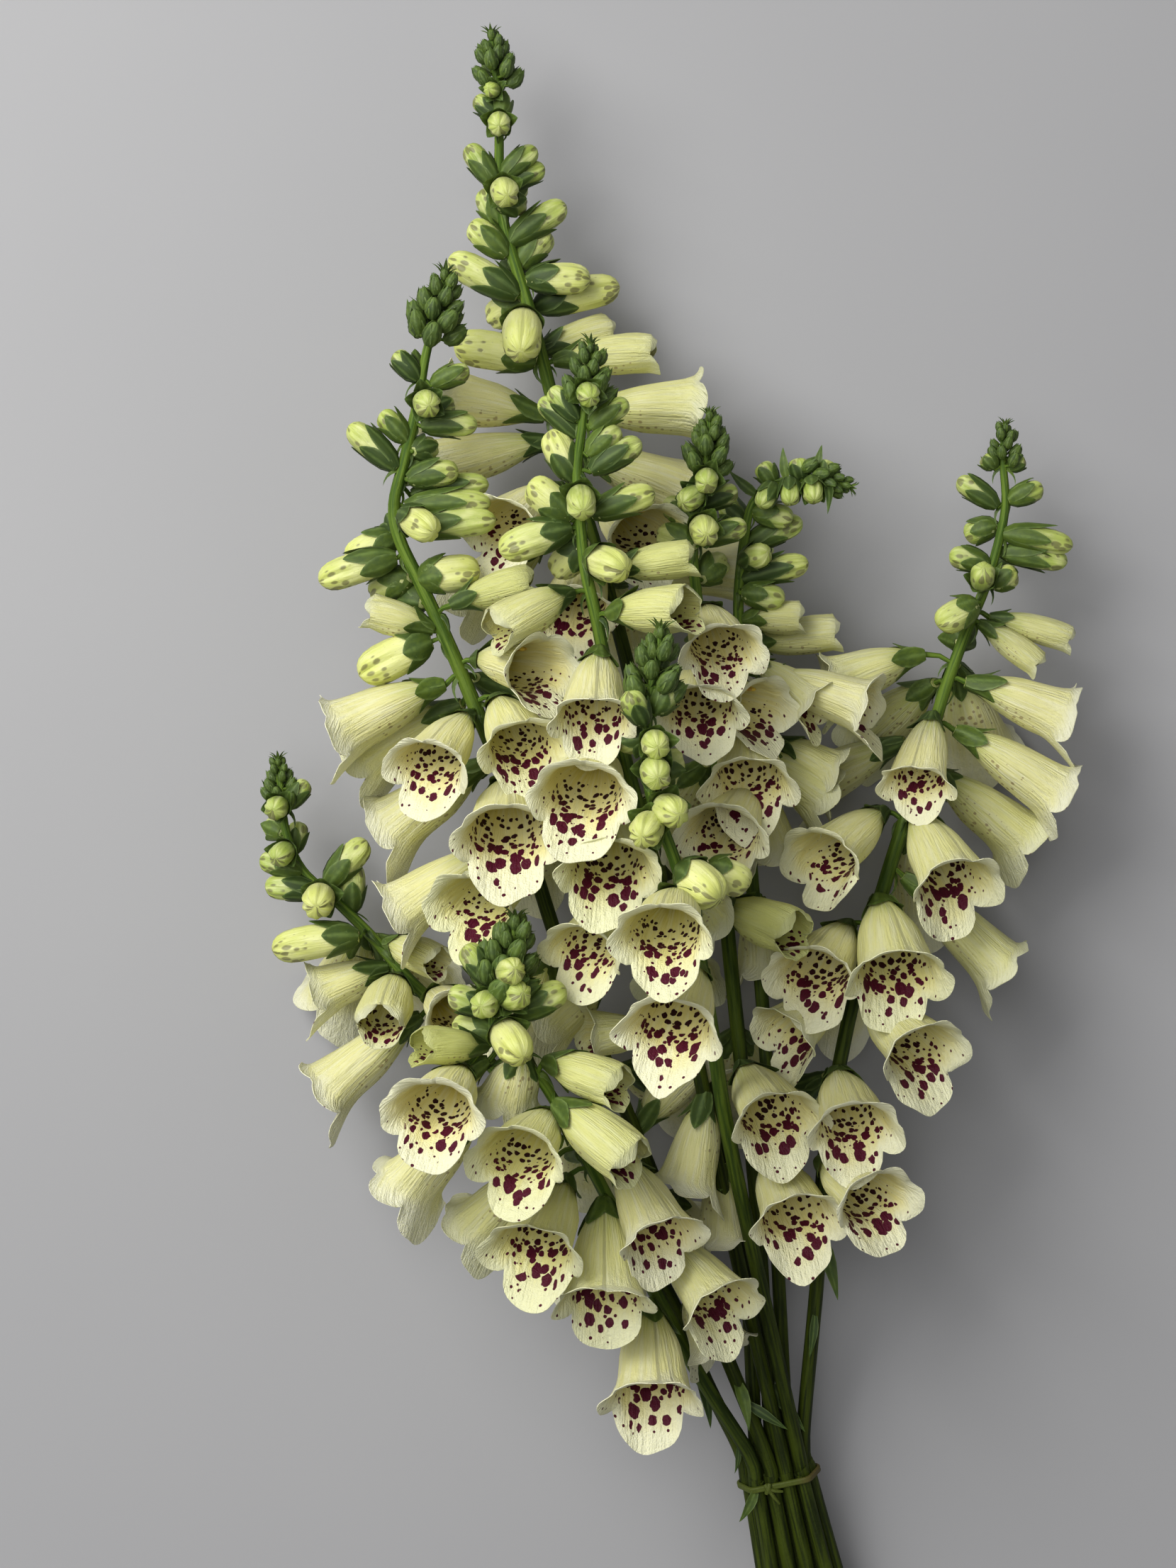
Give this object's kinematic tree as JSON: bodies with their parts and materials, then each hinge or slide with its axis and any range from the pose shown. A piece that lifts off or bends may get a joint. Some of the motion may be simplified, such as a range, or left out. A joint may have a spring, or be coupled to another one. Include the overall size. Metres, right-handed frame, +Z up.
{
  "type": "tied foxglove bunch",
  "caption": "Tied bunch of cut cream foxglove spikes lying on its side, with open spotted bells, green buds and bare stems.",
  "frame": {"origin": "middle of the bunch's box, on the surface that it lies on", "axes": "+Y along the bunch towards the tips of the spikes, +Z up from the surface, +X to the right seen from above"},
  "size_m": [0.3196, 0.7694, 0.1841],
  "materials": {
    "petals": "soft matte petal",
    "greens": "matte leaf and stem",
    "tie": "dull band"
  },
  "bodies": {
    "root": {"spike_tall": "petals", "spike_left": "petals", "spike_centre": "petals", "spike_right_centre": "petals", "spike_bent": "petals", "spike_right": "petals", "spike_front": "petals", "spike_lower_left": "petals", "spike_lower_front": "petals", "tie_band": "tie"}
  },
  "joints": []
}
